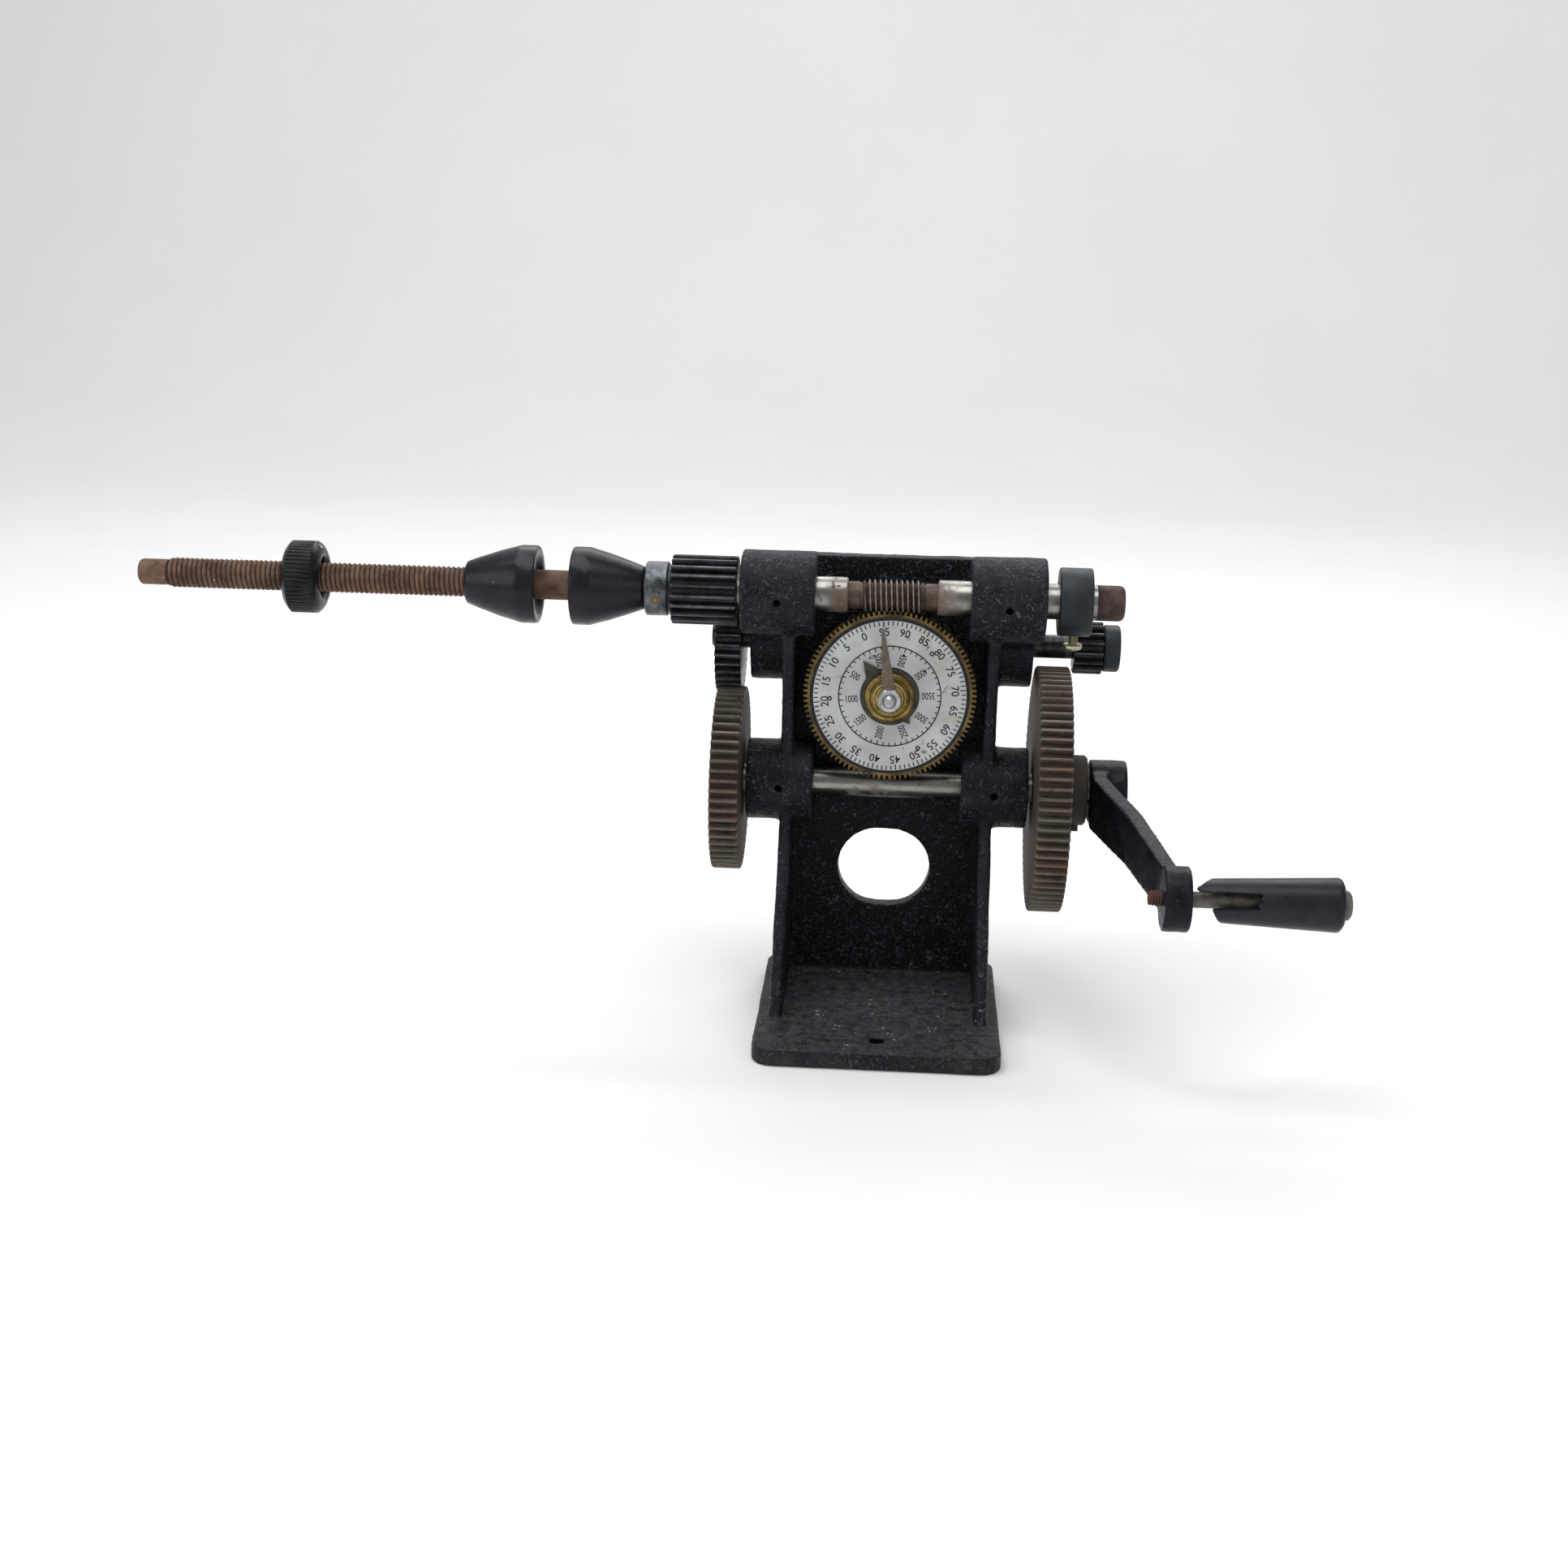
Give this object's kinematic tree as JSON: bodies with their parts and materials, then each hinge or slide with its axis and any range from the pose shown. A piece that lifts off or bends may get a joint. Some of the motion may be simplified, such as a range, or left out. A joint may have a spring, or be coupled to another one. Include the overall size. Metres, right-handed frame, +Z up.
{
  "type": "hand wire winder",
  "caption": "Bench hand winder for wire coils: cast frame, threaded spindle with clamping cones, two-speed gear train, cranked handle and a worm-driven differential turn counter.",
  "frame": {"origin": "middle of the base's underside", "axes": "+X along the winding spindle towards the crank, +Y away from the operator, +Z up"},
  "size_m": [0.4739, 0.1561, 0.1867],
  "materials": {
    "casting": "black wrinkle paint over cast iron",
    "rust_gear": "brown rusted steel, worn at the teeth",
    "rust_thread": "rusted steel",
    "bright_steel": "polished steel with stains",
    "zinc": "zinc plated",
    "black_steel": "blackened steel, bright at the tooth edges",
    "plastic": "dark blue-grey moulded plastic, scuffed",
    "gloss_plastic": "black moulded plastic",
    "brass": "aged brass",
    "dial": "silvered plate with stains",
    "pointer": "browned sheet steel",
    "dark_pointer": "dark sheet steel"
  },
  "bodies": {
    "root": {"frame_casting": "casting", "counter_stud": "bright_steel", "stud_washer": "brass", "long_pointer": "pointer", "stud_nut": "zinc"},
    "rear_wheel": {"rear_counter_wheel": "brass", "counter_hub": "brass", "short_pointer": "dark_pointer"},
    "front_wheel": {"front_counter_wheel": "brass", "dial_plate": "dial", "dial_rivets": "bright_steel"},
    "spindle_group": {"spindle": "rust_thread", "worm": "rust_thread", "spindle_pinion": "black_steel", "pinion_set_screw": "black_steel", "spindle_collar": "plastic", "collar_screw": "brass"},
    "nut_group": {"clamp_nut": "gloss_plastic"},
    "cone_left_group": {"cone_left": "plastic"},
    "cone_right_group": {"cone_right": "plastic"},
    "shift_group": {"shift_knob": "plastic"},
    "counter_group": {"countershaft": "bright_steel", "countershaft_gear": "black_steel", "countershaft_pinion": "black_steel"},
    "crank_group": {"crank_shaft": "bright_steel", "low_gear": "rust_gear", "high_gear": "rust_gear", "high_gear_screw": "rust_gear", "crank_arm": "casting", "crank_pin": "bright_steel", "handle_pin": "rust_thread", "handle_pin_head": "rust_thread"},
    "grip_group": {"handle_grip": "plastic"}
  },
  "joints": [
    {"name": "crank_spin", "type": "hinge", "parent": "root", "child": "crank_group", "pos_m": [0, 0.03099, 0.09073], "axis": [1, 0, 0], "continuous": true},
    {"name": "grip_spin", "type": "hinge", "parent": "crank_group", "child": "grip_group", "pos_m": [0.14, -0.06284, 0.07586], "axis": [1, 0, 0], "continuous": true},
    {"name": "spindle_spin", "type": "hinge", "parent": "root", "child": "spindle_group", "pos_m": [0, 0.02, 0.17], "axis": [1, 0, 0], "continuous": true},
    {"name": "shift_slide", "type": "slide", "parent": "root", "child": "shift_group", "axis": [1, 0, 0], "range_m": [-0.0014, 0]},
    {"name": "countershaft_spin", "type": "hinge", "parent": "shift_group", "child": "counter_group", "pos_m": [0, 0.04555, 0.147], "axis": [1, 0, 0], "continuous": true},
    {"name": "front_wheel_spin", "type": "hinge", "parent": "root", "child": "front_wheel", "pos_m": [0, 0.02, 0.13036], "axis": [0, 1, 0], "continuous": true},
    {"name": "rear_wheel_spin", "type": "hinge", "parent": "root", "child": "rear_wheel", "pos_m": [0, 0.02, 0.13036], "axis": [0, 1, 0], "continuous": true},
    {"name": "nut_slide", "type": "slide", "parent": "spindle_group", "child": "nut_group", "axis": [1, 0, 0], "range_m": [-0.045, 0.025]},
    {"name": "cone_left_slide", "type": "slide", "parent": "spindle_group", "child": "cone_left_group", "axis": [1, 0, 0], "range_m": [-0.025, 0.006]},
    {"name": "cone_right_slide", "type": "slide", "parent": "spindle_group", "child": "cone_right_group", "axis": [1, 0, 0], "range_m": [-0.006, 0]}
  ],
  "couplings": [
    {"joint": "countershaft_spin", "follows": "crank_spin", "ratio": -1.6571},
    {"joint": "spindle_spin", "follows": "crank_spin", "ratio": 2.9},
    {"joint": "front_wheel_spin", "follows": "crank_spin", "ratio": -0.029},
    {"joint": "rear_wheel_spin", "follows": "crank_spin", "ratio": -0.028431}
  ]
}
